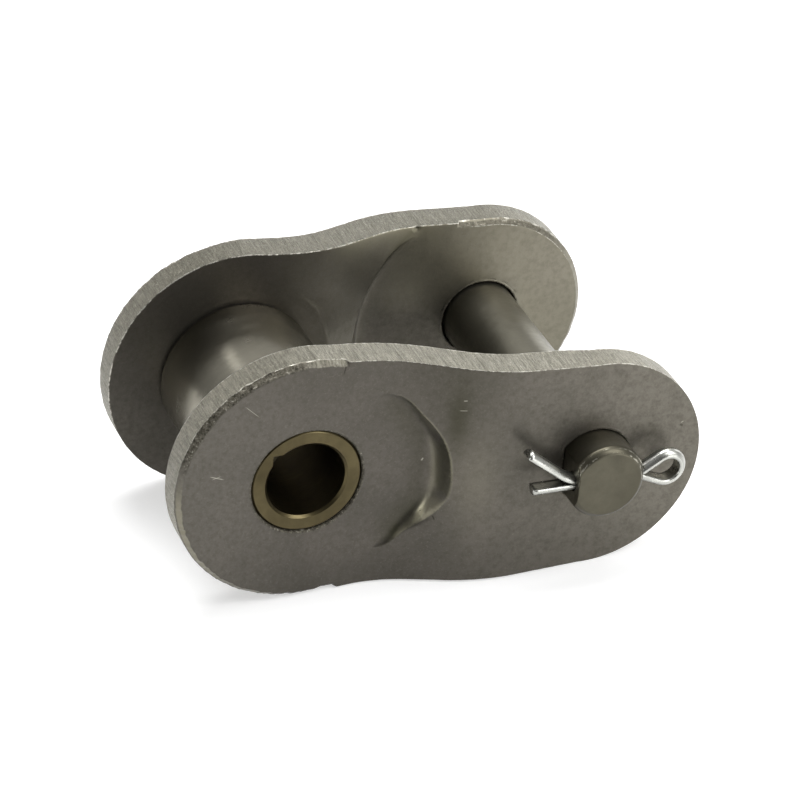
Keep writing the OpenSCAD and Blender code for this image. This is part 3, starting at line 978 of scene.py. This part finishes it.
def plate_side(m, shift, z, streak, streak_fine, near):
    """Colour of the sheared side, streaked across the plate; the far plate's has painted shade, darker at
    its top.
    """
    side = m.spread(streak, 0.34, 0.66, SIDE_DARK, SIDE_PALE)
    # painted shade on the top of the far plate's side
    if not near:
        side = m.tint(side, z, 0.004, 0.02, 0.35, SIDE_TOP_SHADE)
    side = m.tint(side, streak_fine, 0.45, 0.72, 0.5, SIDE_STREAK)
    grit = m.grain(2600.0, 5.0, 0.8, shift)
    side = m.tint(side, grit, 0.46, 0.3, 0.65, SIDE_PORE)
    return m.tint(side, grit, 0.58, 0.72, 0.8, BARE_STEEL)


def plate_material(name, seed, near):
    """Tempered plate: dull grey-brown faces with painted shade and sheen, paler sheared side, torn dark
    bevels and holes.
    """
    m = Nodes(bpy.data.materials.new(name))
    place = m.place()
    shift = m.vector("ADD", place, (seed * 0.37, seed * 0.11, seed * 0.23))
    x, y, z = m.add("SeparateXYZ", {0: place}).outputs
    rim, cut, run = m.attribute("rim"), m.attribute("cut"), m.attribute("run", "Vector")
    mid = m.grain(900.0, 4.0, 0.65, shift)
    streak = m.grain(1.0, 4.0, 0.65, m.place((3.2, 0.35, 1.0), run))
    streak_fine = m.grain(1.0, 3.0, 0.6, m.place((9.0, 1.6, 1.0), run))
    side = plate_side(m, shift, z, streak, streak_fine, near)
    colour = m.mix(m.between(rim, 0.15, 0.6), plate_face(m, shift, x, mid), side)
    torn = m.grain(1500.0, 5.0, 0.75, shift)
    scar = m.tint(m.spread(torn, 0.36, 0.64, SCAR_DARK, SCAR_PALE), torn, 0.6, 0.7, 0.85, BARE_STEEL)
    colour = m.mix(m.times(cut, 0.95), colour, scar)
    chips = m.between(m.grain(800.0, 5.0, 0.8, shift), 0.38, 0.58)
    chipped = m.between(m.times(m.attribute("wear"), chips), 0.4, 0.9)
    colour = m.stain(colour, chipped, 0.8, CHIP)
    if near:
        on_face = m.times(m.between(rim, 0.3, 0.1), m.between(y, -0.020, -0.0215))
        for marks, amount, rgb in ((SCRATCHES_AND_GLINT, 0.38, SCRATCH), (TEARS, 0.6, TEAR)):
            for start, end, width in marks:
                colour = m.stain(colour, m.times(m.mark(place, start, end, width), on_face), amount, rgb)
    fine = m.grain(4200.0, 3.0, 0.6, shift)
    normal = m.bump(m.math("ADD", m.times(fine, 0.5), m.times(mid, 0.5)), 0.00005, 0.5)
    teeth = m.times(m.math("ADD", streak, streak_fine), m.between(rim, 0.2, 0.7))
    normal = m.bump(teeth, 0.0003, 0.7, normal)
    normal = m.bump(m.times(torn, cut), 0.0003, 0.8, normal)
    rough = m.math("ADD", m.between(mid, 0.3, 0.7, 0.36, 0.46), m.times(cut, 0.12))
    rough = m.math("SUBTRACT", rough, m.times(m.attribute("sheen"), 0.12))
    return m.metal(colour, 0.85, rough, normal)


def steel(name, dark, pale, metallic, rough, scale, stretch=(1, 1, 1), depth=0.00002, drawn=0.0):
    """Machined or drawn steel with a fine grain, bright where the wear value of the mesh is high, and with
    painted light where its sheen value is high.
    """
    m = Nodes(bpy.data.materials.new(name))
    place = m.place(stretch)
    mid = m.grain(scale, 4.0, 0.6, place)
    colour = m.spread(m.grain(110.0, 3.0, 0.5, m.place()), 0.3, 0.7, dark, pale)
    colour = m.tint(colour, mid, 0.35, 0.7, 0.35, tuple(c * 0.8 for c in dark))
    # painted light from the mesh's sheen value
    colour = m.stain(colour, m.attribute("sheen"), 0.5, WEAR_AND_SHEEN)
    chips = m.between(m.grain(900.0, 5.0, 0.75, m.place()), 0.4, 0.66)
    chipped = m.between(m.times(m.attribute("wear"), chips), 0.25, 0.85)
    colour = m.stain(colour, chipped, 0.8, WEAR_AND_SHEEN)
    if drawn:
        lines = m.grain(1.0, 3.0, 0.6, m.place((0.12, 5.0, 5.0), m.attribute("run", "Vector")))
        colour = m.tint(colour, lines, 0.42, 0.6, drawn, tuple(c * 0.55 for c in dark))
    fine = m.grain(scale * 5, 3.0, 0.6, place)
    normal = m.bump(m.math("ADD", mid, m.times(fine, 0.5)), depth, 0.4)
    return m.metal(colour, metallic, m.between(mid, 0.3, 0.7, *rough), normal)


# Steels: dark and pale colour in screen values, how metallic, roughness from and to, fineness of the grain
zinc_wire = steel("zinc_wire", (180, 181, 175), (204, 204, 197), 0.97, (0.24, 0.34), 500.0,
                  depth=0.000004, drawn=0.5)
pin_steel = steel("pin_steel", (74, 71, 60), (86, 83, 71), 0.92, (0.32, 0.42), 420.0, (1, 3, 1))
bush_steel = steel("bush_steel", (68, 61, 42), (86, 78, 55), 0.95, (0.28, 0.4), 500.0, (1, 4, 1))
roller_steel = steel("roller_steel", (136, 132, 119), (155, 151, 138), 1.0, (0.2, 0.28), 150.0,
                     (1, 2, 1), depth=0.000002)

# The object
near = Plate(far=False).build("near_side", plate_material("plate_near", 1, near=True))
far = Plate(far=True).build("far_side", plate_material("plate_far", 7, near=False))
wire = cotter(zinc_wire)
bolt = pin(pin_steel)
for ob, node in ((near, "near_plate"), (far, "far_plate"), (wire, "cotter_pin"), (bolt, "connecting_pin")):
    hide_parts(node)
    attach(ob, "link")


def dress(node, material):
    """Gives a CAD node its material, in the slots that it has."""
    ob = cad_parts[node]
    if not ob.material_slots:
        ob.data.materials.append(material)
    for slot in ob.material_slots:
        slot.material = material


dress("bush", bush_steel)
dress("roller", roller_steel)

# Stage: a white floor that takes the shadow, a grey sky, lamps and the camera, all in metres
FLOOR_TILT = asin((BUSH_LOBE - PIN_LOBE) / PITCH)
FLOOR_HALF = 3.0
FLOOR_GLOW = 0.5
SKY_BRIGHT = (0.55, 0.62, 0.56)
SKY_LOW, SKY_HIGH = 0.12, 0.75
WHITE = (1, 1, 1, 1)
LAMP_AIM = (0.024, 0, 0)
# Each lamp: its place, its width and height, and its power in watts
LAMPS = {
    "top": ((0.05, 0.2, 0.8), (0.6, 0.5), 8.0),
    "right": ((0.65, 0.45, 0.15), (0.5, 0.5), 1.65),
    "key": ((0.45, -0.45, 0.65), (0.45, 0.45), 5.0),
    "front": ((0.55, -0.75, 0.1), (0.5, 0.4), 3.0),
    "left": ((-0.80, -0.31, 0.155), (0.2, 0.14), 0.9),
    "back": ((-0.235, 0.70, 0.54), (0.13, 0.2), 0.11),
}
CAMERA_PLACE = (-0.211828, -0.529900, 0.353397)
CAMERA_LOOK = (0.3494885, 0.7790934, -0.5204529)
CAMERA_UP = (0.1278866, 0.5106159, 0.8502449)
CAMERA_LENS = 171.0
CAMERA_SENSOR = 36.0


def backdrop_material():
    """Diffuse cloth that also glows white for what looks at it, and so keeps the shadow."""
    m = Nodes(bpy.data.materials.new("backdrop"))
    paths = m.add("LightPath").outputs
    seen = m.math("ADD", paths["Is Camera Ray"], paths["Is Glossy Ray"])
    seen = m.math("ADD", seen, paths["Is Transmission Ray"], True)
    # the lamps fade with distance, so the floor glows more far from the object
    away = m.vector("LENGTH", m.place(), out="Value")
    glow = m.times(seen, m.between(away, 0.3, 0.9, FLOOR_GLOW, 1.0))
    white = m.add("Emission", {"Color": WHITE, "Strength": glow}).outputs[0]
    cloth = m.add("BsdfDiffuse", {"Color": (0.6, 0.6, 0.6, 1)}).outputs[0]
    both = m.add("AddShader", {0: white, 1: cloth}).outputs[0]
    m.add("OutputMaterial", {"Surface": both})
    return m.owner


def backdrop():
    """Floor that both lobes of the plates stand on."""
    s = FLOOR_HALF
    mesh = bpy.data.meshes.new("floor")
    mesh.from_pydata([(-s, -s, 0), (s, -s, 0), (s, s, 0), (-s, s, 0)], [], [(0, 1, 2, 3)])
    mesh.materials.append(backdrop_material())
    ob = add_object("floor", mesh)
    up = Vector((-sin(FLOOR_TILT), 0, cos(FLOOR_TILT)))
    turn = up.to_track_quat("Z", "Y").to_matrix().to_4x4()
    ob.matrix_world = Matrix.Translation(up * (-BUSH_LOBE * MM)) @ turn
    return ob


def sky():
    """Soft light, brightest beyond the object at the upper right, and white to the camera."""
    world = bpy.data.worlds.new("studio")
    bpy.context.scene.world = world
    m = Nodes(world)
    ray = m.add("TexCoord").outputs["Generated"]
    glow = m.between(m.vector("DOT_PRODUCT", ray, SKY_BRIGHT, "Value"), -0.3, 0.9, SKY_LOW, SKY_HIGH)
    seen = m.add("LightPath").outputs["Is Camera Ray"]
    glow = m.add("Mix", {0: seen, 2: glow, 3: 1.0}, data_type="FLOAT").outputs[0]
    shine = m.add("Background", {"Color": WHITE, "Strength": glow}).outputs[0]
    m.add("OutputWorld", {"Surface": shine})


def lamp(name, where, size, power):
    """Rectangular lamp that looks at the object."""
    data = bpy.data.lights.new(name, "AREA")
    data.shape = "RECTANGLE"
    data.size, data.size_y = size
    data.energy = power
    ob = add_object(name, data)
    ob.location = where
    ob.rotation_euler = (Vector(LAMP_AIM) - Vector(where)).to_track_quat("-Z", "Y").to_euler()


def camera():
    """Camera of the photo."""
    data = bpy.data.cameras.new("camera")
    data.lens = CAMERA_LENS
    data.sensor_width = CAMERA_SENSOR
    data.clip_start = 0.01
    ob = add_object("camera", data)
    look = Vector(CAMERA_LOOK).normalized()
    right = look.cross(Vector(CAMERA_UP).normalized()).normalized()
    turn = Matrix((right, right.cross(look), -look)).transposed().to_4x4()
    ob.matrix_world = Matrix.Translation(CAMERA_PLACE) @ turn
    bpy.context.scene.camera = ob


floor = backdrop()
sky()
for name, (where, size, power) in LAMPS.items():
    lamp(name, where, size, power)
camera()
bpy.context.scene.view_settings.view_transform = "Standard"
